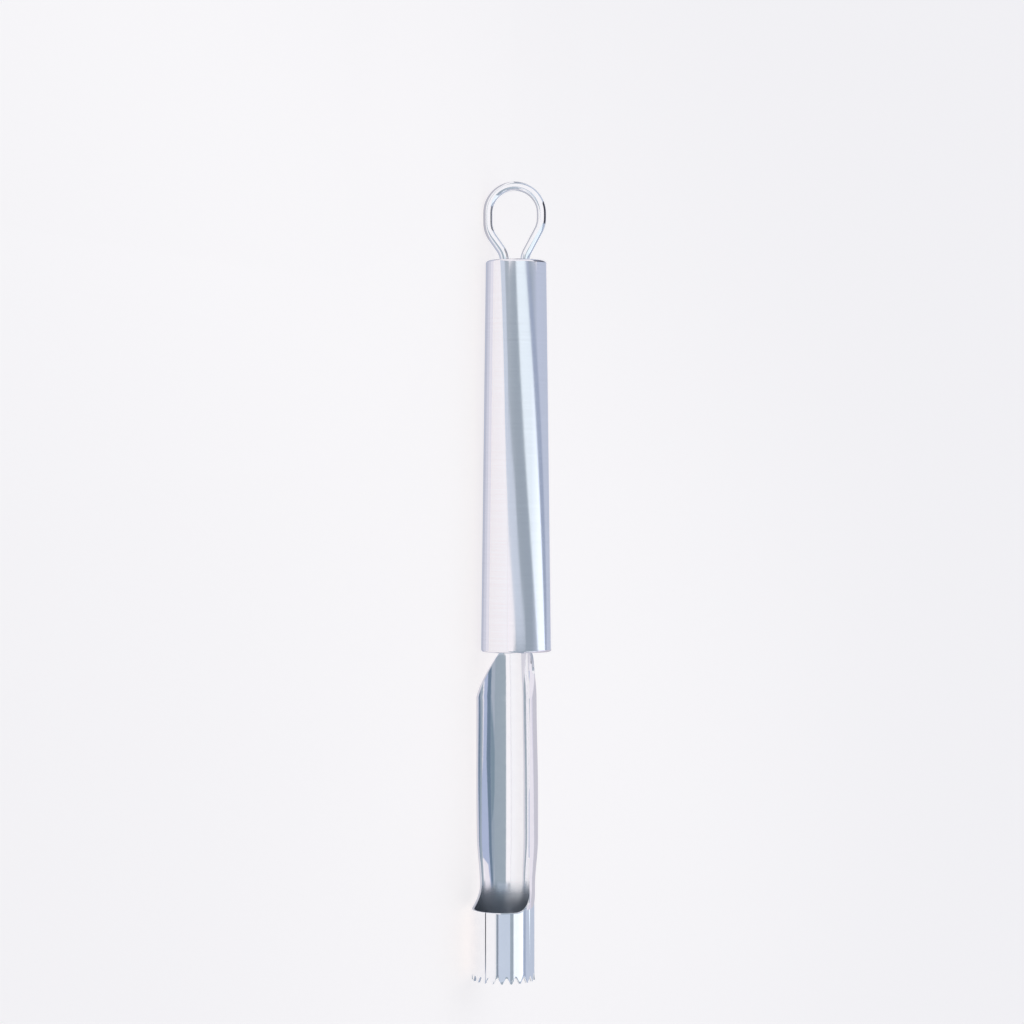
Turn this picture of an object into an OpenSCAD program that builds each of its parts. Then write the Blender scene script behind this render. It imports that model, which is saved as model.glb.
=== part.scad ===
// Apple corer in stainless steel: a tapered hollow handle with a hanging loop at one end
// and, at the other, a coring blade rolled from one sheet.
// It lies on a table as it comes to rest: on the handle and on one side of the loop.
// Its long axis runs along X, with the loop towards -X and the cutting edge towards +X.
// The origin is on the table, under the middle of the corer.

/* [Handle] */
// Length of the handle
handle_length = 110.5; // [90:0.5:130]
// Diameter of the handle at the loop end
loop_end_diameter = 17.3; // [16:0.1:19]
// Diameter of the handle at the blade end
blade_end_diameter = 20; // [19:0.1:24]
// Wall of the handle's tube
tube_wall = 0.9; // [0.6:0.1:1.5]
// Rounding of the handle's two rims
rim_round = 0.75; // [0.3:0.05:1]
// Thickness of the two end caps
cap_thickness = 1.5; // [1:0.1:3]

/* [Hanging loop] */
// Diameter of the loop's wire
wire_diameter = 2.6; // [2:0.1:3]
// Radius of the loop's round top, to the middle of the wire
loop_radius = 7.6; // [7:0.1:9]
// Length of the loop's shorter straight side, under its round top
loop_side = 1.4; // [0.5:0.1:4]
// How far the loop stands to the left of the handle's axis, as fitted
loop_offset = 0.5; // [0:0.1:1]
// Distance between the wire's two feet
foot_spacing = 5.8; // [5:0.1:7]
// Radius of the bends at the feet, to the middle of the wire
foot_bend = 6; // [4:0.1:7]
// How far the left leg leans from the handle's axis
left_lean = 35.2; // [28:0.1:42]
// How far the right leg leans from the handle's axis
right_lean = 28.1; // [24:0.1:36]
// Radius of the turned-out ends inside the handle, to the middle of the wire
end_bend = 3; // [2.5:0.1:4]

/* [Coring blade] */
// Thickness of the blade's sheet
sheet_thickness = 0.7; // [0.5:0.1:1]
// How far the cutting edge reaches past the handle
blade_reach = 91.7; // [80:0.1:110]
// Length of the closed ring, with its teeth
ring_length = 19.8; // [15:0.1:25]
// Outer diameter of the closed ring
ring_diameter = 17.8; // [16:0.1:20]
// Outer diameter of the trough where it bulges most
belly_diameter = 19.5; // [18.5:0.1:21]
// Outer diameter of the trough at its shoulders
shoulder_diameter = 18.7; // [18:0.1:20]
// Outer diameter of the neck
neck_diameter = 16.9; // [16:0.1:18]
// Width of the neck across its two edges
neck_width = 10.8; // [8:0.1:13]
// Length of the sloped shoulders
shoulder_length = 12.8; // [8:0.1:18]
// Distance from the handle to where the trough bulges fully
belly_start = 40; // [25:1:50]
// Length over which the trough narrows to its waist
waist_ease = 14; // [8:1:20]
// How far the trough's edges lie below the blade's axis at the waist
edge_drop = 1.1; // [0:0.1:2]
// Radius of the corner where the trough's edges rise to the ring
corner_round = 6; // [3:0.1:8]
// Distance from the handle's axis to the blade's axis
axis_offset = 6.5; // [4:0.1:8]
// How far the blade's opening is turned from the loop's face
opening_turn = 34; // [0:1:60]
// Width of the seam where the rolled sheet meets
seam_gap = 0.3; // [0.1:0.05:0.6]
// Length of the tang inside the handle
tang_length = 14; // [8:1:30]

/* [Teeth] */
// Number of teeth round the cutting edge
tooth_count = 21; // [16:1:28]
// Depth of the notches between the teeth
tooth_depth = 1.7; // [1:0.1:2.5]
// Width of each notch at the cutting edge
notch_width = 2.3; // [1.5:0.1:2.4]
// Radius at the bottom of each notch
notch_round = 0.35; // [0.2:0.05:0.5]
// Angle from the seam to the nearest tooth
tooth_phase = 3; // [0:0.5:16]

/* [Fits] */
// Gap between each cap's edge and the tube
cap_clearance = 0.02; // [0.01:0.01:0.1]
// Gap round each foot of the loop in its hole
foot_clearance = 0.05; // [0.02:0.01:0.2]
// Gap round the tang in its slot
tang_clearance = 0.1; // [0.05:0.01:0.3]

/* [Hidden] */
$fn = 96;
overcut = 1;
arc_steps = 8;
notch_steps = 4;

// The handle's two ends and the slope of its side
loop_end_r = loop_end_diameter / 2;
blade_end_r = blade_end_diameter / 2;
taper = atan((blade_end_r - loop_end_r) / handle_length);
rim_land = 0.05;
rim_r = min(rim_round, tube_wall - rim_land);

// The loop, drawn flat round its own middle: x across the handle, y away from it.
// The leg that leans less reaches higher and sets how high the loop sits.
// The straight stretches are a hair thinner than the bends and lap a little way into them.
wire_r = wire_diameter / 2;
wire_hair = 0.01;
wire_lap = 0.1;
loop_height = max(side_foot(left_lean), side_foot(right_lean)) + loop_side;

// The blade along its axis, measured from the handle's loop end
tip_z = handle_length + blade_reach;
ring_top_z = tip_z - ring_length;
waist_z = ring_top_z - corner_round;
shoulder_z = handle_length + shoulder_length;
tang_z = handle_length - tang_length;
ring_r = ring_diameter / 2;
neck_r = neck_diameter / 2;
neck_level = -sqrt(pow(neck_r, 2) - pow(neck_width / 2, 2));

// Stations of the blade's outer radius, each a place along the axis and a radius
stations = [
    [tang_z, neck_r],
    [handle_length, neck_r],
    [shoulder_z, shoulder_diameter / 2],
    [handle_length + belly_start, belly_diameter / 2],
    [waist_z - waist_ease, belly_diameter / 2],
    [waist_z, ring_r],
    [tip_z, ring_r]
];

// How it lies: the handle's lowest line and the loop's side both touch the table
pitch = taper;
reach_down = loop_end_r - wire_r / cos(pitch) - loop_height * tan(pitch);
roll = asin(min(1, reach_down / (loop_radius + loop_offset)));
lift = loop_end_r * cos(pitch);
facing = roll + opening_turn;
loop_tip = loop_height + loop_radius + wire_r;
middle_x = (tip_z - loop_tip) / 2 * cos(pitch);
middle_y = (blade_end_r - ring_r - axis_offset * sin(facing)) / 2;

satin = [0.74, 0.75, 0.78];
polished = [0.85, 0.86, 0.9];

// Lays down a piece that stands on its loop end, with the loop's face towards +Y
module as_it_lies() {
    translate([-middle_x, -middle_y, lift])
        rotate([0, -pitch, 0])
            rotate([roll, 0, 0])
                rotate([90, 0, 90])
                    children();
}

// Puts a piece drawn round the blade's axis, with its opening towards +X, in its place
module on_blade_axis() {
    rotate([0, 0, 90 + opening_turn])
        translate([axis_offset, 0, 0])
            children();
}

// Radius of the handle's tube on its outside, at a distance from its loop end
function handle_r(z) = loop_end_r + (blade_end_r - loop_end_r) * z / handle_length;

// Points of an arc in the profile's plane
function arc(cx, cy, r, from, to, steps = arc_steps) =
    [for (i = [0:steps]) let (a = from + (to - from) * i / steps) [cx + r * cos(a), cy + r * sin(a)]];

// Rises smoothly from 0 to 1
function ease(t) = t * t * (3 - 2 * t);

// Points of the blade's profile between two stations
function eased_points(a, b, inset) =
    let (steps = a[1] == b[1] ? 1 : arc_steps)
    [for (i = [1:steps]) let (t = i / steps) [a[1] + (b[1] - a[1]) * ease(t) - inset, a[0] + (b[0] - a[0]) * t]];

// One side of the blade's profile, set in from the outer surface
function blade_side(inset) = concat(
    [[stations[0][1] - inset, stations[0][0]]],
    [for (i = [1:len(stations) - 1]) each eased_points(stations[i - 1], stations[i], inset)]
);

function reversed(list) = [for (i = [len(list) - 1:-1:0]) list[i]];

// A rounded rim at a distance along the handle, touching its sloped side
function rim(z, from, to) = arc(handle_r(z) - rim_r / cos(taper), z, rim_r, from, to);

// The tapered tube, with its two rims rounded
module handle_sleeve() {
    outside = concat(rim(rim_r, -90, -taper), rim(handle_length - rim_r, -taper, 90));
    inside = [[blade_end_r - tube_wall, handle_length], [loop_end_r - tube_wall, 0]];
    color(satin) as_it_lies()
        rotate_extrude()
            polygon(concat(outside, inside));
}

// A disc that fills the tube's end flush, from one distance to another
module cap_disc(from, to) {
    edge = tube_wall + cap_clearance;
    rotate_extrude()
        polygon([[0, from], [handle_r(from) - edge, from], [handle_r(to) - edge, to], [0, to]]);
}

// Closes the loop end, with a hole for each foot of the wire
module loop_cap() {
    color(satin) as_it_lies()
        difference() {
            cap_disc(0, cap_thickness);
            for (side = [-1, 1])
                translate([side * foot_spacing / 2 - loop_offset, 0, -overcut])
                    cylinder(h = cap_thickness + 2 * overcut, r = wire_r + foot_clearance);
        }
}

// Closes the blade end, with a curved slot for the tang
module blade_cap() {
    slot_r = neck_r + tang_clearance;
    slot_inner_r = neck_r - sheet_thickness - tang_clearance;
    slot_length = cap_thickness + 2 * overcut;
    color(satin) as_it_lies()
        difference() {
            cap_disc(handle_length - cap_thickness, handle_length);
            on_blade_axis()
                translate([0, 0, handle_length - cap_thickness - overcut])
                    difference() {
                        cylinder(h = slot_length, r = slot_r);
                        cylinder(h = slot_length, r = slot_inner_r);
                        translate([neck_level + tang_clearance, -slot_r - overcut, -overcut])
                            cube([2 * slot_r + overcut, 2 * (slot_r + overcut), slot_length + 2 * overcut]);
                    }
        }
}

// How high over the handle the bend at the loop's side has its middle, for a leg that leans so far
function side_foot(lean) =
    let (run = foot_spacing / 2 + foot_bend)
    (loop_radius + foot_bend - run * cos(lean)) / sin(lean);

// A bend in the wire, in the loop's own plane
module wire_arc(centre, r, from, to) {
    translate(centre)
        rotate([0, 0, from])
            rotate_extrude(angle = to - from)
                translate([r, 0])
                    circle(r = wire_r);
}

// A straight stretch of wire, in the loop's own plane
module wire_line(start, end) {
    run = end - start;
    translate(start)
        rotate([0, 0, atan2(run.y, run.x)])
            rotate([0, 90, 0])
                translate([0, 0, -wire_lap])
                    cylinder(h = norm(run) + 2 * wire_lap, r = wire_r - wire_hair);
}

// One leg of the loop: it bends in to its foot, goes through the cap and turns out inside
module wire_leg(side, lean) {
    shoulder = [0, side_foot(lean)];
    foot_x = side * foot_spacing / 2;
    foot = [foot_x + side * foot_bend, 0];
    hook = [foot_x + side * end_bend, -cap_thickness];
    side_x = side * loop_radius;
    out = [side * cos(lean), -sin(lean)];
    wire_line([side_x, loop_height], [side_x, shoulder.y]);
    wire_arc(shoulder, loop_radius, side > 0 ? -lean : 180, side > 0 ? 0 : 180 + lean);
    wire_line(shoulder + loop_radius * out, foot - foot_bend * out);
    wire_arc(foot, foot_bend, side > 0 ? 180 - lean : 0, side > 0 ? 180 : lean);
    wire_line([foot_x, 0], [foot_x, -cap_thickness]);
    wire_arc(hook, end_bend, side > 0 ? 180 : 270, side > 0 ? 270 : 360);
}

// The bent wire to hang the corer by
module hanging_loop() {
    color(polished) as_it_lies()
        rotate([-90, 0, 0])
            translate([-loop_offset, 0, 0]) {
                wire_arc([0, loop_height], loop_radius, 0, 180);
                wire_leg(1, right_lean);
                wire_leg(-1, left_lean);
            }
}

// What is cut away above the trough, seen from the side: x towards the opening, y along the axis
module side_cut() {
    top = belly_diameter;
    corner = arc(corner_round - edge_drop, waist_z, corner_round, 180, 90);
    polygon(concat(
        [[top, tang_z - overcut], [neck_level, tang_z - overcut], [neck_level, handle_length], [0, shoulder_z]],
        corner,
        [[top, ring_top_z]]
    ));
}

// A notch between two teeth, drawn with the cutting edge on the x axis.
// Its straight sides run down to a round bottom, and on past the cutting edge.
module notch() {
    half = notch_width / 2;
    deep = tooth_depth - notch_round;
    turn = atan2(deep, half) - acos(notch_round / norm([half, deep]));
    top = half - overcut * tan(turn);
    bottom = arc(0, -deep, notch_round, -180 - turn, turn, notch_steps);
    polygon(concat([[top, overcut], [-top, overcut]], bottom));
}

// The rolled sheet: toothed ring, trough, sloped shoulders, neck and tang
module coring_blade() {
    pitch_angle = 360 / tooth_count;
    color(polished) as_it_lies()
        on_blade_axis()
            difference() {
                difference() {
                    rotate_extrude()
                        polygon(concat(blade_side(0), reversed(blade_side(sheet_thickness))));
                    rotate([90, 0, 0])
                        translate([0, 0, -belly_diameter])
                            linear_extrude(height = 2 * belly_diameter)
                                side_cut();
                    for (i = [0:tooth_count - 1])
                        rotate([0, 0, tooth_phase + (i + 0.5) * pitch_angle])
                            translate([0, 0, tip_z])
                                rotate([90, 0, 90])
                                    linear_extrude(height = ring_diameter)
                                        notch();
                }
                translate([0, -seam_gap / 2, ring_top_z - overcut])
                    cube([ring_diameter, seam_gap, ring_length + 2 * overcut]);
            }
}

handle_sleeve();
loop_cap();
blade_cap();
hanging_loop();
coring_blade();
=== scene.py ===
# %% [markdown]
# # A stainless steel apple corer
#
# This lesson dresses a corer that was built first as exact solids. The solids come in as a fixed frame that
# says where everything is. On top of it we model the pieces that need a finer surface than the solids' own
# meshes have, because polished steel shows every facet, and then we give each one its finish.
# Lengths are in metres. The corer lies along X, with its hanging loop towards -X.

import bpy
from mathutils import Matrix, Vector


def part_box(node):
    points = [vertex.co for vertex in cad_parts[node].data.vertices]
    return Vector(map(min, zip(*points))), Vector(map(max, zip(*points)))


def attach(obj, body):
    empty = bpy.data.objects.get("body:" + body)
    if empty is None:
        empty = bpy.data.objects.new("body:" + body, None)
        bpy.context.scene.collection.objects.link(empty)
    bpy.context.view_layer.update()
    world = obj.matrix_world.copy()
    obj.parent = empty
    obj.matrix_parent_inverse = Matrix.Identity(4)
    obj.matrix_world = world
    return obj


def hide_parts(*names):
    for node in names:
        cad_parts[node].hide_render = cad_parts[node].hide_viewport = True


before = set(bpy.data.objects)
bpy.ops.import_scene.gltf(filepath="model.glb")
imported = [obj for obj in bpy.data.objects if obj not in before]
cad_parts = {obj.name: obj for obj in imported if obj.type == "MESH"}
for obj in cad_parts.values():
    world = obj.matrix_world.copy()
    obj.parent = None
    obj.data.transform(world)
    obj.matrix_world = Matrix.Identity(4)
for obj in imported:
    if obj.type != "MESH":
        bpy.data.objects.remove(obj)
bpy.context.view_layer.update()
print("CAD nodes:", sorted(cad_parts))

# %% Modules and units
import math

import bpy
from mathutils import Matrix, Vector

mm = 0.001
hair = 0.01 * mm
full_turn = 2 * math.pi

# %% [markdown]
# ## How the corer lies
#
# Each piece is easiest to model upright, round its own axis, with the handle's loop end at zero and the
# cutting edge at the top. One matrix then lays it down where the solids lie: on the handle's lowest line
# and on one side of the loop. The sizes below are the object's own.

# %% Sizes of the handle and the loop
handle_length = 110.5 * mm
loop_end_r = 8.65 * mm
blade_end_r = 10 * mm
tube_wall = 0.9 * mm
rim_round = 0.75 * mm
cap_thickness = 1.5 * mm
wire_r = 1.3 * mm
loop_radius = 7.6 * mm
loop_side = 1.4 * mm
loop_offset = 0.5 * mm
foot_x = 2.9 * mm
foot_bend = 6 * mm
end_bend = 3 * mm
left_lean = math.radians(35.2)
right_lean = math.radians(28.1)


def side_foot(lean):
    """How high over the handle the bend at the loop's side has its middle."""
    return (loop_radius + foot_bend - (foot_x + foot_bend) * math.cos(lean)) / math.sin(lean)


loop_height = max(side_foot(left_lean), side_foot(right_lean)) + loop_side
print("loop height", round(loop_height / mm, 3), "mm")

# %% Sizes of the blade
sheet_thickness = 0.7 * mm
tip_z = handle_length + 91.7 * mm
ring_top_z = tip_z - 19.8 * mm
corner_round = 6 * mm
waist_z = ring_top_z - corner_round
shoulder_z = handle_length + 12.8 * mm
tang_z = handle_length - 14 * mm
ring_r = 8.9 * mm
belly_r = 9.75 * mm
shoulder_r = 9.35 * mm
neck_r = 8.45 * mm
neck_level = -math.sqrt(neck_r**2 - (5.4 * mm) ** 2)
belly_z = handle_length + 40 * mm
belly_end_z = waist_z - 14 * mm
edge_drop = 1.1 * mm
seam_gap = 0.3 * mm
axis_offset = 6.5 * mm
opening_turn = math.radians(34)

# %% The matrix that lays an upright piece down
taper = math.atan((blade_end_r - loop_end_r) / handle_length)
reach_down = loop_end_r - wire_r / math.cos(taper) - loop_height * math.tan(taper)
roll = math.asin(reach_down / (loop_radius + loop_offset))
loop_tip = loop_height + loop_radius + wire_r
middle_x = (tip_z - loop_tip) / 2 * math.cos(taper)
middle_y = (blade_end_r - ring_r - axis_offset * math.sin(roll + opening_turn)) / 2
lift = loop_end_r * math.cos(taper)
upright_to_long = Matrix(((0, 0, 1, 0), (1, 0, 0, 0), (0, 1, 0, 0), (0, 0, 0, 1)))
lie_down = (
    Matrix.Translation((-middle_x, -middle_y, lift))
    @ Matrix.Rotation(-taper, 4, "Y")
    @ Matrix.Rotation(roll, 4, "X")
    @ upright_to_long
)
turn_to_opening = Matrix.Rotation(math.pi / 2 + opening_turn, 4, "Z")
to_blade_axis = turn_to_opening @ Matrix.Translation((axis_offset, 0, 0))
print(f"slope {math.degrees(taper):.2f} degrees, roll {math.degrees(roll):.2f} degrees")

# %% [markdown]
# ## Camera
#
# The photograph was taken from three quarters of a metre away with a long lens. The camera looks squarely
# at the loop's face, so the corer stands upright in the picture with its loop at the top. The corer lies on
# its side here, so the same view looks down on it from the front.

# %% The camera in the photograph's place
camera_distance = 747 * mm
look_at = Vector((-1.245 * mm, 0, 70.98 * mm))
sensor_width = 36
focal_pixels = 2640
picture_pixels = 1024
bpy.ops.object.camera_add()
camera = bpy.context.object
camera.name = "photo_camera"
camera.data.sensor_width = sensor_width
camera.data.lens = sensor_width * focal_pixels / picture_pixels
camera.data.clip_start = 10 * mm
camera.data.clip_end = 10
camera_turn = Matrix(((1, 0, 0, 0), (0, 0, 1, 0), (0, -1, 0, 0), (0, 0, 0, 1)))
camera_place = Matrix.Translation(look_at + Vector((0, camera_distance, 0)))
camera.matrix_world = lie_down @ camera_place @ camera_turn
bpy.context.scene.camera = camera
print("camera at", [round(v, 3) for v in camera.matrix_world.translation])

# %% [markdown]
# ## Handle
#
# The handle is one tapered steel tube with rounded rims. A cone with both its ends filled has the taper.
# Its end faces are inset by the wall, the inset faces are deleted and the two inner rings bridged, which
# makes the wall in one closed mesh. Then the outer rims are bevelled round. A spin of the profile, as on a
# lathe, would do as well, but this way each step can be seen on the model.

# %% Name a new piece, and choose faces or edges on it


def start_piece(name):
    """Names the primitive that was just added."""
    piece = bpy.context.object
    piece.name = name
    piece.data.name = name
    return piece


def choose(piece, kind, wanted):
    """In edit mode, selects the faces or edges whose middle passes a test, and nothing else."""
    bpy.ops.mesh.select_mode(type=kind)
    bpy.ops.mesh.select_all(action="DESELECT")
    bpy.ops.object.mode_set(mode="OBJECT")
    mesh = piece.data
    items = mesh.polygons if kind == "FACE" else mesh.edges
    count = 0
    for item in items:
        corners = [mesh.vertices[i].co for i in item.vertices]
        item.select = bool(wanted(sum(corners, Vector()) / len(corners), item))
        count += item.select
    bpy.ops.object.mode_set(mode="EDIT")
    return count


# %% A tapered tube
handle_sides = 192
bpy.ops.object.select_all(action="DESELECT")
bpy.ops.mesh.primitive_cone_add(
    vertices=handle_sides,
    radius1=loop_end_r,
    radius2=blade_end_r,
    depth=handle_length,
    location=(0, 0, handle_length / 2),
)
sleeve = start_piece("satin_sleeve")
bpy.ops.object.transform_apply(location=True, rotation=False, scale=False)
bpy.ops.object.mode_set(mode="EDIT")
nearly_flat = 0.9
choose(sleeve, "FACE", lambda middle, face: abs(face.normal.z) > nearly_flat)
bpy.ops.mesh.inset(thickness=tube_wall, use_boundary=True)
bpy.ops.mesh.delete(type="FACE")
bpy.ops.object.mode_set(mode="OBJECT")
print("sleeve after its insets:", len(sleeve.data.polygons), "faces")

# %% Lay a finished piece down, and compare it with its solid


def only(piece):
    """Makes one object the active one and the only one that is selected."""
    bpy.ops.object.select_all(action="DESELECT")
    bpy.context.view_layer.objects.active = piece
    piece.select_set(True)


def lay_down(piece, first=Matrix.Identity(4)):
    """Puts the finished upright piece in its place and leaves its object at the origin."""
    only(piece)
    piece.matrix_world = lie_down @ first
    bpy.ops.object.transform_apply(location=True, rotation=True, scale=True)


def compare(piece, node):
    """Prints how far the piece's box is from the box of the solid that it stands for."""
    corners = [Vector(c) for c in piece.bound_box]
    low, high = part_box(node)
    gap = 0
    for i in range(3):
        places = [c[i] for c in corners]
        gap = max(gap, abs(min(places) - low[i]), abs(max(places) - high[i]))
    print(f"{piece.name}: {len(piece.data.polygons)} faces, box off by {gap / mm:.3f} mm")


# %% Join the inner rings and round the outer rims


def end_radius(middle):
    """The outer radius of the end that an edge lies on, or zero for an edge between the ends."""
    if min(abs(middle.z), abs(middle.z - handle_length)) >= hair:
        return 0
    return loop_end_r if middle.z < handle_length / 2 else blade_end_r


def on_inner_ring(middle, edge):
    radii = [sleeve.data.vertices[i].co.xy.length for i in edge.vertices]
    return abs(radii[0] - radii[1]) < hair and middle.xy.length < end_radius(middle) - tube_wall / 2


def on_outer_rim(middle, edge):
    outer = end_radius(middle)
    return outer and middle.xy.length > outer - 2 * hair


rim_steps = 8
bpy.ops.object.mode_set(mode="EDIT")
inner_count = choose(sleeve, "EDGE", on_inner_ring)
bpy.ops.mesh.bridge_edge_loops()
rim_count = choose(sleeve, "EDGE", on_outer_rim)
bpy.ops.mesh.bevel(offset=rim_round, segments=rim_steps, profile=0.5)
bpy.ops.mesh.select_all(action="SELECT")
bpy.ops.mesh.normals_make_consistent(inside=False)
bpy.ops.object.mode_set(mode="OBJECT")
bpy.ops.object.shade_smooth_by_angle(angle=math.radians(30))
lay_down(sleeve)
print(inner_count, "inner edges and", rim_count, "rim edges found")
compare(sleeve, "handle_sleeve")

# %% [markdown]
# ## Hanging loop
#
# The loop is one wire, bent cold: it comes out of the handle, turns outwards, runs up each side and over
# the top. We make it as it is bent. A round section is carried along the wire's path: the spin operator
# makes each bend and extrude makes each straight stretch, and each starts from the ring that the last one
# left selected.

# %% Ways to bend the wire and to run it on
bend_step = math.radians(5)
fewest_steps = 6


def in_loop(x, y):
    """A point of the loop's flat drawing, x across the handle and y away from it, in the upright piece."""
    return Vector((x, 0, -y))


def bend_wire(x, y, turn):
    """Spins the wire's end round a point of the drawing."""
    steps = max(fewest_steps, round(abs(turn) / bend_step))
    bpy.ops.mesh.spin(steps=steps, angle=turn, center=in_loop(x, y), axis=(0, -1, 0))


def run_wire(start_x, start_y, end_x, end_y):
    """Carries the wire's end straight on."""
    bpy.ops.mesh.extrude_region_move(
        TRANSFORM_OT_translate={"value": in_loop(end_x, end_y) - in_loop(start_x, start_y)}
    )


def from_angle(x, y, r, angle):
    """The point at an angle on a circle of the drawing."""
    return x + r * math.cos(angle), y + r * math.sin(angle)


# %% The wire, from its hidden left end to its hidden right end
wire_sides = 32
bpy.ops.object.select_all(action="DESELECT")
bpy.ops.mesh.primitive_circle_add(
    vertices=wire_sides,
    radius=wire_r,
    fill_type="NOTHING",
    location=in_loop(-foot_x - end_bend, -cap_thickness - end_bend),
    rotation=(0, math.pi / 2, 0),
)
loop = start_piece("bent_wire_loop")
bpy.ops.object.transform_apply(location=True, rotation=True, scale=False)
bpy.ops.object.mode_set(mode="EDIT")
bpy.ops.mesh.select_all(action="SELECT")
left_foot = side_foot(left_lean)
right_foot = side_foot(right_lean)
bend_wire(-foot_x - end_bend, -cap_thickness, math.pi / 2)
run_wire(-foot_x, -cap_thickness, -foot_x, 0)
bend_wire(-foot_x - foot_bend, 0, left_lean)
leg_start = from_angle(-foot_x - foot_bend, 0, foot_bend, left_lean)
run_wire(*leg_start, *from_angle(0, left_foot, loop_radius, math.pi + left_lean))
bend_wire(0, left_foot, -left_lean)
run_wire(0, left_foot, 0, loop_height)
bend_wire(0, loop_height, -math.pi)
run_wire(0, loop_height, 0, right_foot)
bend_wire(0, right_foot, -right_lean)
leg_start = from_angle(0, right_foot, loop_radius, -right_lean)
run_wire(*leg_start, *from_angle(foot_x + foot_bend, 0, foot_bend, math.pi - right_lean))
bend_wire(foot_x + foot_bend, 0, right_lean)
run_wire(foot_x, 0, foot_x, -cap_thickness)
bend_wire(foot_x + end_bend, -cap_thickness, math.pi / 2)
bpy.ops.object.mode_set(mode="OBJECT")
ends = [loop.data.vertices[i].co.copy() for i in (0, len(loop.data.vertices) - 1)]
print("wire ends at", [[round(v / mm, 2) for v in end] for end in ends])

# %% Close the wire's ends and smooth it
bpy.ops.object.mode_set(mode="EDIT")
bpy.ops.mesh.select_all(action="SELECT")
bpy.ops.mesh.remove_doubles(threshold=0.1 * hair)
bpy.ops.mesh.select_all(action="DESELECT")
bpy.ops.mesh.select_mode(type="EDGE")
bpy.ops.mesh.select_non_manifold()
bpy.ops.mesh.edge_face_add()
bpy.ops.mesh.select_all(action="SELECT")
bpy.ops.mesh.normals_make_consistent(inside=False)
bpy.ops.object.mode_set(mode="OBJECT")
bpy.ops.object.shade_smooth_by_angle(angle=math.radians(35))
lay_down(loop, Matrix.Translation((-loop_offset, 0, 0)))
compare(loop, "hanging_loop")

# %% [markdown]
# ## Coring blade
#
# The real blade is a flat blank that is punched with its teeth and then rolled until its two edges meet in
# a seam. We make it the same way: a grid is the blank, and each of its points is carried to its place on
# the rolled form. One blank becomes the open trough, the other the closed ring. A boolean cut through a
# finished tube would leave long thin faces at the edges, and a mirror-like finish would show them.

# %% The rolled form
stations = [
    (tang_z, neck_r),
    (handle_length, neck_r),
    (shoulder_z, shoulder_r),
    (belly_z, belly_r),
    (belly_end_z, belly_r),
    (waist_z, ring_r),
    (tip_z, ring_r),
]


def blade_radius(z):
    """The blade's outer radius at a place along its axis, eased from one station to the next."""
    for (z0, r0), (z1, r1) in zip(stations, stations[1:]):
        if z <= z1:
            t = max(0.0, (z - z0) / (z1 - z0))
            return r0 + (r1 - r0) * t * t * (3 - 2 * t)
    return ring_r


def side_level(z):
    """The height of the trough's edges, seen from the side, above the blade's axis."""
    if z <= handle_length:
        return neck_level
    if z <= shoulder_z:
        return neck_level * (shoulder_z - z) / (shoulder_z - handle_length)
    return -edge_drop * (z - shoulder_z) / (waist_z - shoulder_z)


def opening_half(z):
    """Half the angle of the trough's opening."""
    return math.acos(side_level(z) / blade_radius(z))


waist_half = opening_half(waist_z)
print("half the opening at the waist:", round(math.degrees(waist_half), 1), "degrees")

# %% The teeth, as the height of the cutting edge round the ring
tooth_count = 21
tooth_pitch = full_turn / tooth_count
tooth_depth = 1.7 * mm
notch_half = 1.15 * mm
notch_round = 0.35 * mm
tooth_phase = math.radians(3)
notch_deep = tooth_depth - notch_round
notch_slant = math.hypot(notch_half, notch_deep)
notch_turn = math.atan2(notch_deep, notch_half) - math.acos(notch_round / notch_slant)
bottom_half = notch_round * math.cos(notch_turn)
bottom_top = notch_deep - notch_round * math.sin(notch_turn)


def edge_depth(across):
    """How deep a notch is at a distance from its middle."""
    across = abs(across)
    if across >= notch_half:
        return 0.0
    if across >= bottom_half:
        return bottom_top * (notch_half - across) / (notch_half - bottom_half)
    return notch_deep + math.sqrt(notch_round**2 - across**2)


def notch_middle(angle):
    """The angle of the notch that is nearest to an angle."""
    turns = (angle - tooth_phase) / tooth_pitch - 0.5
    return tooth_phase + (round(turns) + 0.5) * tooth_pitch


def edge_z(angle):
    """How far up the cutting edge reaches at an angle."""
    return tip_z - edge_depth(ring_r * math.sin(angle - notch_middle(angle)))


print("notch bottoms are", round(2 * bottom_half / mm, 2), "mm wide")

# %% The columns of the ring's blank
seam_half = math.asin(seam_gap / 2 / ring_r)
corner_level = corner_round - edge_drop
narrowest = 0.0015
beyond_all = 10
across_list = [-notch_half, -0.75 * notch_half, -0.5 * notch_half]
across_list += [-bottom_half, -0.7 * bottom_half, -0.3 * bottom_half]
across_list += [-a for a in reversed(across_list)]
columns = {seam_half, full_turn - seam_half, waist_half, full_turn - waist_half}
for i in range(-1, tooth_count + 1):
    middle = tooth_phase + (i + 0.5) * tooth_pitch
    columns |= {middle + math.asin(a / ring_r) for a in across_list}
for degrees in range(6, 91, 7):
    level = corner_level - corner_round * math.cos(math.radians(degrees))
    corner_angle = math.acos(level / ring_r)
    columns |= {corner_angle, full_turn - corner_angle}
columns = sorted(c for c in columns if seam_half <= c <= full_turn - seam_half)
neighbours = zip(columns, columns[1:] + [beyond_all])
must_stay = (seam_half, waist_half)
columns = [c for c, after in neighbours if after - c > narrowest or c in must_stay]
print(len(columns), "columns")

# %% Roll the two blanks
same_angle = 1e-9


def ring_start(angle):
    """Where the ring's sheet begins, at an angle from the middle of the opening."""
    angle = min(angle, full_turn - angle)
    if angle >= waist_half - same_angle:
        return waist_z
    level = ring_r * math.cos(angle)
    if level >= corner_level:
        return ring_top_z
    return waist_z + math.sqrt(corner_round**2 - (corner_level - level) ** 2)


def rolled(angle, z, r):
    """The point at an angle round the blade's axis, a height along it and a distance from it."""
    return Vector((r * math.cos(angle), r * math.sin(angle), z))


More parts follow.
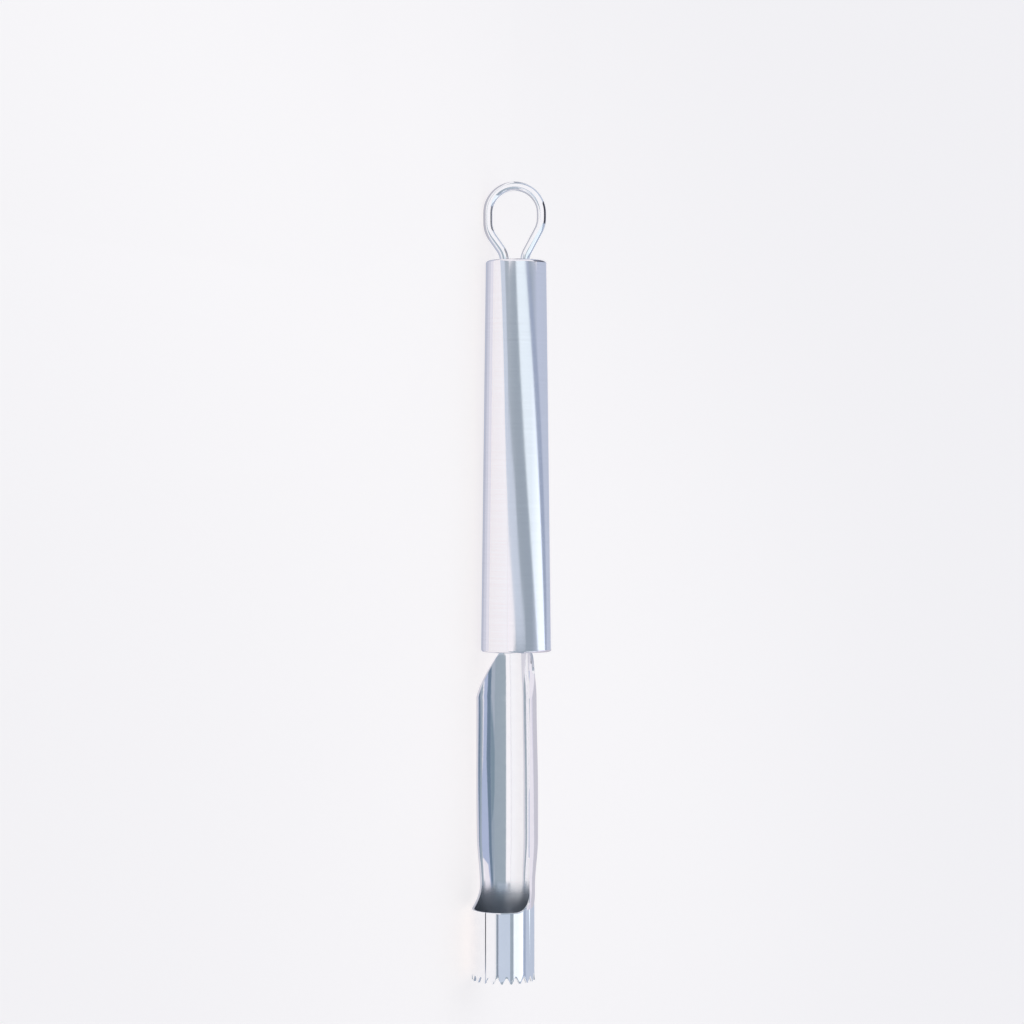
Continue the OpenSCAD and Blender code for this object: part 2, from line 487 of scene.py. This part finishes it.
def roll_blank(name, across, along, place):
    """A flat grid with one column for each entry of across and one row for each of along, rolled up."""
    bpy.ops.object.select_all(action="DESELECT")
    bpy.ops.mesh.primitive_grid_add(x_subdivisions=len(across) - 1, y_subdivisions=len(along) - 1, size=2)
    blank = start_piece(name)
    for v in blank.data.vertices:
        i = round((v.co.x + 1) / 2 * (len(across) - 1))
        j = round((v.co.y + 1) / 2 * (len(along) - 1))
        v.co = place(across[i], along[j])
    return blank


def ring_place(angle, share):
    """Carries a point of the ring's blank, a share of the way from its start to its teeth."""
    start = ring_start(angle)
    return rolled(angle, start + share * (edge_z(angle) - start), ring_r)


def trough_place(share, z):
    """Carries a point of the trough's blank, a share of the way from one edge to the other."""
    half = opening_half(z)
    return rolled(half + share * (full_turn - 2 * half), z, blade_radius(z))


ring_rows = [0, 0.015, 0.12, 0.3, 0.5, 0.7, 0.85, 0.95, 1]
ring = roll_blank("rolled_ring", columns, ring_rows, ring_place)
first_angle, last_angle = waist_half - same_angle, full_turn - waist_half + same_angle
back_columns = [c for c in columns if first_angle <= c <= last_angle]
shares = [(c - waist_half) / (full_turn - 2 * waist_half) for c in back_columns]
spans = [(tang_z, handle_length, 6), (handle_length, shoulder_z, 14), (shoulder_z, waist_z, 48)]
rows = [a + (b - a) * i / n for a, b, n in spans for i in range(n)] + [waist_z]
blade = roll_blank("rolled_blade", shares, rows, trough_place)
print("ring", len(ring.data.polygons), "faces, trough", len(blade.data.polygons), "faces")

# %% Join the two, give the sheet its thickness and break its edges
only(blade)
ring.select_set(True)
bpy.ops.object.join()
bpy.ops.object.mode_set(mode="EDIT")
bpy.ops.mesh.select_all(action="SELECT")
bpy.ops.mesh.remove_doubles(threshold=0.2 * hair)
bpy.ops.mesh.normals_make_consistent(inside=False)
bpy.ops.object.mode_set(mode="OBJECT")
outward = sum(1 if p.normal.xy.dot(p.center.xy) > 0 else -1 for p in blade.data.polygons)
if outward < 0:
    blade.data.flip_normals()
thicken = blade.modifiers.new("sheet", "SOLIDIFY")
thicken.thickness = sheet_thickness
thicken.offset = -1
thicken.use_even_offset = True
bpy.ops.object.modifier_apply(modifier=thicken.name)
edge_break = 0.06 * mm
break_edges = blade.modifiers.new("broken_edges", "BEVEL")
break_edges.width = edge_break
break_edges.segments = 2
break_edges.limit_method = "ANGLE"
break_edges.angle_limit = math.radians(50)
bpy.ops.object.modifier_apply(modifier=break_edges.name)
bpy.ops.object.shade_smooth_by_angle(angle=math.radians(30))
lay_down(blade, to_blade_axis)
compare(blade, "coring_blade")

# %% Even shading, and a mark on the inside of the ring, where the steel is rougher and darkened with painted shade
even_shading = blade.modifiers.new("even_shading", "WEIGHTED_NORMAL")
even_shading.keep_sharp = True
bpy.ops.object.modifier_apply(modifier=even_shading.name)
stand_blade_up = (lie_down @ to_blade_axis).inverted()
turn_blade_up = stand_blade_up.to_3x3()
fade_start = ring_top_z - 7 * mm
fade_length = 4 * mm
inside_name = "inside"
# The mark makes the inside of the ring rougher, and darkens its colour there as painted shade.
inside = blade.data.attributes.new(inside_name, "FLOAT", "POINT")
for v, mark in zip(blade.data.vertices, inside.data):
    point, normal = stand_blade_up @ v.co, turn_blade_up @ v.normal
    if normal.xy.dot(point.xy) < 0:
        mark.value = min(max((point.z - fade_start) / fade_length, 0), 1)
print("vertices inside the ring:", sum(1 for mark in inside.data if mark.value == 1))

# %% [markdown]
# ## Satin steel
#
# The handle is brushed round and round, so it is rough along its length and much smoother round it. That
# is why its bright bands run lengthwise with fairly crisp edges. An anisotropic highlight gives that. It
# needs to know which way the brushing runs, so the sleeve gets a UV map that is wrapped round it, and a
# fine noise that is stretched the same way gives the brush lines themselves.

# %% Wrap the cone's UV map round the sleeve
upright_again = lie_down.inverted()
wrap_name = "wrap"
wrap = sleeve.data.uv_layers[0]
wrap.name = wrap_name
for face in sleeve.data.polygons:
    middle = upright_again @ face.center
    middle_turn = math.atan2(middle.y, middle.x)
    for corner in face.loop_indices:
        point = upright_again @ sleeve.data.vertices[sleeve.data.loops[corner].vertex_index].co
        turn = math.atan2(point.y, point.x)
        turn += full_turn * round((middle_turn - turn) / full_turn)
        wrap.data[corner].uv = (turn / full_turn, point.z / handle_length)
print("wrapped", len(wrap.data), "corners")

# %% Noise stretched in chosen directions
noise_roughness = 0.6


def streaks(material, scale, detail):
    """Noise on Object coordinates, turned to the handle's slope, with a scale for each axis."""
    nodes, links = material.node_tree.nodes, material.node_tree.links
    place = nodes.new("ShaderNodeTexCoord")
    turn = nodes.new("ShaderNodeMapping")
    turn.inputs["Rotation"].default_value = (0, taper, 0)
    turn.inputs["Scale"].default_value = scale
    noise = nodes.new("ShaderNodeTexNoise")
    noise.inputs["Scale"].default_value = 1
    noise.inputs["Detail"].default_value = detail
    noise.inputs["Roughness"].default_value = noise_roughness
    links.new(place.outputs["Object"], turn.inputs["Vector"])
    links.new(turn.outputs["Vector"], noise.inputs["Vector"])
    return noise.outputs["Fac"]


# %% Values and colours on a material
noise_low = 0.25
noise_high = 0.75


def spread(material, value, low, high):
    """Maps a noise value from where most of it lies to a range."""
    nodes, links = material.node_tree.nodes, material.node_tree.links
    ramp = nodes.new("ShaderNodeMapRange")
    ramp.inputs["From Min"].default_value = noise_low
    ramp.inputs["From Max"].default_value = noise_high
    ramp.inputs["To Min"].default_value = low
    ramp.inputs["To Max"].default_value = high
    links.new(value, ramp.inputs["Value"])
    return ramp.outputs["Result"]


def tint(material, value, first, second):
    """Goes from the first colour to the second one as a value goes from 0 to 1."""
    nodes, links = material.node_tree.nodes, material.node_tree.links
    mix = nodes.new("ShaderNodeMix")
    mix.data_type = "RGBA"
    links.new(value, mix.inputs["Factor"])
    mix.inputs["A"].default_value = (*first, 1)
    mix.inputs["B"].default_value = (*second, 1)
    return mix.outputs["Result"]


def raise_surface(material, height, strength, depth):
    """Lets a value raise and lower the surface by a depth."""
    nodes, links = material.node_tree.nodes, material.node_tree.links
    bump = nodes.new("ShaderNodeBump")
    bump.inputs["Strength"].default_value = strength
    bump.inputs["Distance"].default_value = depth
    links.new(height, bump.inputs["Height"])
    links.new(bump.outputs["Normal"], nodes["Principled BSDF"].inputs["Normal"])


def new_material(name):
    material = bpy.data.materials.new(name)
    material.use_nodes = True
    return material, material.node_tree.nodes["Principled BSDF"]


def new_steel(name):
    material, shader = new_material(name)
    shader.inputs["Metallic"].default_value = 1
    return material, shader


# %% Steel with brush lines
brush_depth = 0.004 * mm
brush_strength = 0.3
brush_dark = (0.91, 0.89, 0.92)
brush_light = (0.965, 0.945, 0.975)
band_scale = (260, 25, 25)


def brushed(name, brush_scale, rough_low, rough_high):
    """Steel with fine brush lines in its colour and surface, and broader bands in its roughness."""
    material, shader = new_steel(name)
    brush_lines = streaks(material, brush_scale, detail=2)
    broad_bands = streaks(material, band_scale, detail=3)
    links = material.node_tree.links
    colour = tint(material, spread(material, brush_lines, 0, 1), brush_dark, brush_light)
    links.new(colour, shader.inputs["Base Color"])
    links.new(spread(material, broad_bands, rough_low, rough_high), shader.inputs["Roughness"])
    raise_surface(material, brush_lines, brush_strength, brush_depth)
    return material, shader


# %% The satin finish of the sleeve, and a duller one for the caps inside its ends
along_rotation = 0.25
stretched_highlight = 0.45
satin, satin_shader = brushed("satin_steel", (3600, 40, 40), 0.11, 0.15)
satin_shader.inputs["Anisotropic"].default_value = stretched_highlight
satin_shader.inputs["Anisotropic Rotation"].default_value = along_rotation
round_way = satin.node_tree.nodes.new("ShaderNodeTangent")
round_way.direction_type = "UV_MAP"
round_way.uv_map = wrap_name
satin.node_tree.links.new(round_way.outputs["Tangent"], satin_shader.inputs["Tangent"])
cap_satin = brushed("cap_satin_steel", (900, 900, 900), 0.3, 0.36)[0]
print("satin steel has", len(satin.node_tree.nodes), "nodes")

# %% [markdown]
# ## Polished steel
#
# The blade and the wire are polished until they mirror the room. Rolled sheet is never quite even, so a
# long soft bump makes the reflections waver a little, and the roughness varies slightly as handling marks
# do. Inside the ring the steel is duller, and painted shade darkens its colour where the mesh's mark says
# so.

# %% The polished finish
polish_dark = (0.94, 0.94, 0.96)
polish_light = (0.98, 0.98, 0.99)
# Painted shade: the colour that the inside of the ring is darkened to.
inside_painted_shade = (0.54, 0.57, 0.61)
inside_roughness = 0.3
waver_depth = 0.05 * mm
waver_strength = 0.05
polished, polished_shader = new_steel("polished_steel")
nodes, links = polished.node_tree.nodes, polished.node_tree.links
waver = streaks(polished, (70, 160, 160), detail=1)
handling = streaks(polished, (500, 500, 500), detail=4)
inside_dullness_and_painted_shade = nodes.new("ShaderNodeAttribute")
inside_dullness_and_painted_shade.attribute_name = inside_name
bright = tint(polished, spread(polished, handling, 0, 1), polish_dark, polish_light)
# Painted shade: the base colour goes dark inside the ring, as the mark says.
colour_with_painted_shade = tint(polished, inside_dullness_and_painted_shade.outputs["Fac"], polish_light, inside_painted_shade)
links.new(bright, colour_with_painted_shade.node.inputs["A"])
links.new(colour_with_painted_shade, polished_shader.inputs["Base Color"])
roughness_mix = nodes.new("ShaderNodeMix")
roughness_mix.inputs["B"].default_value = inside_roughness
links.new(inside_dullness_and_painted_shade.outputs["Fac"], roughness_mix.inputs["Factor"])
links.new(spread(polished, handling, 0.06, 0.1), roughness_mix.inputs["A"])
links.new(roughness_mix.outputs["Result"], polished_shader.inputs["Roughness"])
raise_surface(polished, waver, waver_strength, waver_depth)
print("polished steel has", len(nodes), "nodes")

# %% Give each piece its finish
for piece, finish in ((sleeve, satin), (loop, polished), (blade, polished)):
    piece.data.materials.clear()
    piece.data.materials.append(finish)
for name in ("loop_cap", "blade_cap"):
    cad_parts[name].material_slots[0].material = cap_satin
print("finishes given")

# %% [markdown]
# ## Table
#
# The corer lies on a light table: a plain sheet that glows softly. That keeps the ground behind bright
# steel almost white and its shadows faint.

# %% A pale floor
table_size = 8
table_colour = (0.505, 0.442, 0.39, 1)
glow_colour = (0.985, 0.975, 1, 1)
glow = 0.67
bpy.ops.object.select_all(action="DESELECT")
bpy.ops.mesh.primitive_plane_add(size=table_size, location=(0, 0, 0))
table = start_piece("light_table")
table_sheet, table_shader = new_material("table_sheet")
table_shader.inputs["Base Color"].default_value = table_colour
table_shader.inputs["Roughness"].default_value = 0.8
table_shader.inputs["Specular IOR Level"].default_value = 0.2
table_shader.inputs["Emission Color"].default_value = glow_colour
table_shader.inputs["Emission Strength"].default_value = glow
table.data.materials.append(table_sheet)
print("table is", table_size, "m wide")

# %% [markdown]
# ## Light
#
# Steel shows its surroundings more than its own colour, so the light is shaped by what the steel should
# mirror, as a product photographer does it with lamps and cards that stay out of the picture. A long strip
# light crosses over the corer at a slant, and gives the handle its one bright band. Its dark rim draws the
# fine line beside that band. Cards on the table and upright in front of the corer carry on the same slant
# in steps of white and grey. Small ones beside the blade, in its trough and over the ring draw the stripes
# there. The cards belong to the stage, and not to the corer.

# %% Directions and planes round the corer
handle_middle = lie_down @ Vector((0, 0, handle_length / 2))
along_corer = Vector((1, 0, 0))


def facing_frame(place, towards, along):
    """A matrix at a place, with Z away from what it faces and X as near as it can be to a direction."""
    back = (place - towards).normalized()
    side = (along - along.dot(back) * back).normalized()
    return Matrix.Translation(place) @ Matrix((side, back.cross(side), back)).transposed().to_4x4()


def round_the_handle(turn):
    """The direction turned so many degrees from the camera's, towards the right of the picture."""
    turn = math.radians(turn)
    return lie_down.to_3x3() @ Vector((math.sin(turn), math.cos(turn), 0))


def screen(turn, distance):
    """The frame of a plane beside the corer: X as in the fixed frame, Y on round the handle."""
    axis_point = Vector((0, handle_middle.y, handle_middle.z))
    return facing_frame(axis_point + distance * round_the_handle(turn), axis_point, along_corer)


def rectangle(left, right, low, high):
    return [(left, low), (right, low), (right, high), (left, high)]


print("handle's middle", [round(v, 4) for v in handle_middle])

# %% Lamps and cards that the camera doesn't see


def soft_lamp(name, frame_matrix, length, width, radiance, colour):
    """A rectangular lamp of an even brightness."""
    bpy.ops.object.light_add(type="AREA")
    lamp = bpy.context.object
    lamp.name = name
    lamp.matrix_world = frame_matrix
    lamp.data.shape = "RECTANGLE"
    lamp.data.size = length
    lamp.data.size_y = width
    lamp.data.energy = radiance * math.pi * length * width
    lamp.data.color = colour
    lamp.visible_camera = False


def card(name, frame_matrix, outline, shade):
    """A flat card of an even tone, which only reflections show. Its outline is in millimetres."""
    bpy.ops.object.select_all(action="DESELECT")
    bpy.ops.mesh.primitive_circle_add(vertices=len(outline), fill_type="NGON")
    sheet = start_piece(name)
    for vertex, (x, y) in zip(sheet.data.vertices, outline):
        vertex.co = (x * mm, y * mm, 0)
    sheet.matrix_world = frame_matrix
    paint, shader = new_material(name)
    shader.inputs["Base Color"].default_value = (0, 0, 0, 1)
    shader.inputs["Specular IOR Level"].default_value = 0
    shader.inputs["Emission Color"].default_value = (*shade, 1)
    shader.inputs["Emission Strength"].default_value = 1
    sheet.data.materials.append(paint)
    sheet.visible_camera = False
    sheet.visible_diffuse = False
    sheet.visible_shadow = False


def cards(frame_matrix, *sheets):
    """Several cards in one plane, each with its name, outline and shade."""
    for name, outline, shade in sheets:
        card(name, frame_matrix, outline, shade)
    print("cards:", ", ".join(sheet[0] for sheet in sheets))


# %% The strip light over the handle and its dark rim
strip_height = 160 * mm
strip_slope = math.radians(57.5)
strip_length = 600 * mm
strip_width = 77 * mm
strip_radiance = 0.555
strip_turn = 55
strip_across = strip_turn + 90
strip_shift = -5 * mm * along_corer
slope_along = math.cos(strip_slope) * along_corer
slope_across = math.sin(strip_slope) * round_the_handle(strip_across)
strip_place = handle_middle + strip_height * round_the_handle(strip_turn) + strip_shift
strip_frame = facing_frame(strip_place, handle_middle, slope_along + slope_across)
soft_lamp("strip_light", strip_frame, strip_length, strip_width, strip_radiance, (0.92, 1, 1))
rim_outline = [(-300, 38.5), (300, 38.5), (300, 120), (-60, 56), (-300, 56)]
cards(strip_frame, ("strip_rim", rim_outline, (0.34, 0.4, 0.53)))

# %% Cards on the table: painted shadow under the corer, and the grey and dark steps beyond it
on_table = Matrix.Translation((0, 0, 0.2 * mm))
step_grey = (0.6, 0.67, 0.77)
near_line = [(-101, -12), (-87, -19), (-74, -26), (-59, -37), (-45, -50), (-30, -89), (-16, -300)]
near_line += [(-12, -900), (33, -3900)]
middle_line = [(-244, -3900), (-101, -900), (-80, -400), (-78, -83), (-89, -45), (-101, -25)]
far_line = [(-125, -132), (-185, -400), (-300, -900), (-950, -3900)]
cards(
    on_table,
    ("near_shade", [(-95, -7.5), (22, -8), (22, -5.6), (-95, -5.2)], (0.78, 0.78, 0.85)),
    ("nearer_shade", [(-95, -5.2), (22, -5.6), (22, -3.6), (-95, -3.4)], (0.64, 0.66, 0.75)),
    ("under_shade", [(-95, -3.4), (22, -3.6), (22, 16), (-95, 16)], (0.5, 0.53, 0.63)),
    ("blade_shade", rectangle(22, 90, -4.5, 20), (0.68, 0.67, 0.73)),
    ("loop_shade", rectangle(-125, -95, -4.5, 14), (0.5, 0.5, 0.56)),
    ("rim_shade", rectangle(-400, -100, 15, 60), (0.3, 0.32, 0.38)),
    ("ring_shade", rectangle(90, 118, -4.5, 14), (0.6, 0.6, 0.66)),
    ("grey_step", near_line + middle_line, step_grey),
    ("dark_step", middle_line + far_line, (0.39, 0.45, 0.51)),
)

# %% Upright cards in front of the corer
front = screen(0, 200 * mm)
white_edge = [(32, -13), (14, -48), (-4, -91), (-12, -104)]
grey_edge = [(-68, -104), (-49, -64), (-30, -17), (-5, 18), (14, 53), (33, 105), (42, 121), (42, 7)]
cards(
    front,
    ("front_white", [(117, -104), (117, -36), (48, -36), (40, 0)] + white_edge, (0.96, 0.94, 0.97)),
    ("front_grey", white_edge + grey_edge, step_grey),
    ("ring_blue", rectangle(117, 170, -62, 86), (0.56, 0.63, 0.75)),
    ("ring_line", rectangle(117, 170, -82, -62), (0.22, 0.25, 0.32)),
)

# %% Cards round the loop
loop_distance = 40 * mm
loop_front = screen(25, loop_distance)
loop_side_frame = screen(100, loop_distance)
cards(loop_front, ("loop_white", rectangle(-200, -99, -50, 52), (0.95, 0.94, 0.97)))
cards(loop_side_frame, ("loop_dark", rectangle(-123, -98, -26, 24), (0.05, 0.05, 0.07)))

# %% Cards beside the blade
lilac = (0.83, 0.8, 0.87)
blade_side = screen(100, 22 * mm)
cards(
    blade_side,
    ("blade_lilac", rectangle(22.2, 95, -15, -11), lilac),
    ("blade_mauve", rectangle(22.2, 95, -11, -4), (0.69, 0.66, 0.77)),
    ("blade_dusk", rectangle(22.2, 95, -4, 33), (0.57, 0.56, 0.63)),
)

# %% Cards inside the trough, which its two halves mirror
blade_axis = lie_down @ to_blade_axis @ Vector((0, 0, waist_z - 20 * mm))


def in_trough(offset):
    """A plane in the trough, at a distance from the blade's axis towards its deep side."""
    plane = facing_frame(blade_axis + offset * round_the_handle(90), blade_axis, along_corer)
    return Matrix.Translation((-blade_axis.x, 0, 0)) @ plane


blue_edge = [(26, 1.6), (53, 1.9), (78, -0.4), (90, -2)]
blue_far = [(90, -1.2), (81, 0.6), (78.5, 5.6), (61, 5.6), (53, 4.8), (34, 4.4), (26, 4.4)]
line_edge = [(90, -4), (78, -2.8), (53, -1.3)]
trough_grey = (0.3, 0.36, 0.44)
cards(
    in_trough(6.4 * mm),
    ("blade_blue", blue_edge + blue_far, (0.42, 0.48, 0.66)),
    ("blade_line", blue_edge + line_edge + [(26, -1.3)], (0.15, 0.21, 0.29)),
    ("blade_grey", line_edge + [(26, -1.3), (26, -6), (90, -6)], (0.39, 0.44, 0.52)),
)
cards(in_trough(6.3 * mm), ("blade_dim", line_edge + [(33, -1.3), (47, -6), (74, -6)], trough_grey))
deep_outline = [(38, -1.3), (53, -1.3), (72, -2.5), (63, -6), (51, -6)]
cards(in_trough(6.2 * mm), ("blade_deep", deep_outline, (0.21, 0.28, 0.35)))
cards(in_trough(6.6 * mm), ("blade_back", rectangle(24, 90, -6, 6), lilac))

# %% A lamp and a card over the ring
ring_turn = 53.5
ring_lamp_x = 130 * mm
ring_lamp_length = 60 * mm
ring_lamp_width = 112 * mm
ring_radiance = 0.65
ring_screen = screen(ring_turn, strip_height)
ring_frame = Matrix.Translation((ring_lamp_x, 0, 0)) @ ring_screen
soft_lamp("ring_light", ring_frame, ring_lamp_length, ring_lamp_width, ring_radiance, (1, 1, 0.99))
cards(ring_screen, ("ring_rim", rectangle(100, 160, 57, 100), (0.36, 0.42, 0.56)))

# %% The room, as a soft gradient from front to back
# Each stop is an angle, from level in front, over the top and down to level behind, and its shade.
half_turn = 180
stops = [
    (0, (0.4, 0.46, 0.52)),
    (14, (0.36, 0.42, 0.48)),
    (28, (0.34, 0.4, 0.46)),
    (80, (0.32, 0.38, 0.45)),
    (112, (0.52, 0.58, 0.71)),
    (180, (0.5, 0.56, 0.68)),
]
world = bpy.context.scene.world or bpy.data.worlds.new("room")
bpy.context.scene.world = world
world.use_nodes = True
room = world.node_tree


def room_math(operation, second=0.0):
    """A node that works on two numbers, of which the second may be given here."""
    node = room.nodes.new("ShaderNodeMath")
    node.operation = operation
    node.inputs[1].default_value = second
    return node


gaze = room.nodes.new("ShaderNodeTexCoord")
parts = room.nodes.new("ShaderNodeSeparateXYZ")
frontwards = room_math("MULTIPLY", -1)
height = room_math("ARCTAN2")
share = room_math("DIVIDE", math.pi)
shades = room.nodes.new("ShaderNodeValToRGB")
room.links.new(gaze.outputs["Generated"], parts.inputs["Vector"])
room.links.new(parts.outputs["Y"], frontwards.inputs[0])
room.links.new(parts.outputs["Z"], height.inputs[0])
room.links.new(frontwards.outputs["Value"], height.inputs[1])
room.links.new(height.outputs["Value"], share.inputs[0])
room.links.new(share.outputs["Value"], shades.inputs["Fac"])
room.links.new(shades.outputs["Color"], room.nodes["Background"].inputs["Color"])
bands = shades.color_ramp.elements
while len(bands) < len(stops):
    bands.new(1)
for band, (degrees, colour) in zip(bands, stops):
    band.position = degrees / half_turn
    band.color = (*colour, 1)
print("room shades:", len(bands))

# %% Show bright tones as they are
bpy.context.scene.view_settings.view_transform = "Standard"
print("view:", bpy.context.scene.view_settings.view_transform)

# %% [markdown]
# ## Hand the pieces over
#
# Each new piece rides on the corer's one body and stands for the solid that it follows.

# %% Ride and replace
for piece, node, finish in (
    (sleeve, "handle_sleeve", "satin_steel"),
    (loop, "hanging_loop", "polished_steel"),
    (blade, "coring_blade", "polished_steel"),
):
    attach(piece, "root")
    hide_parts(node)
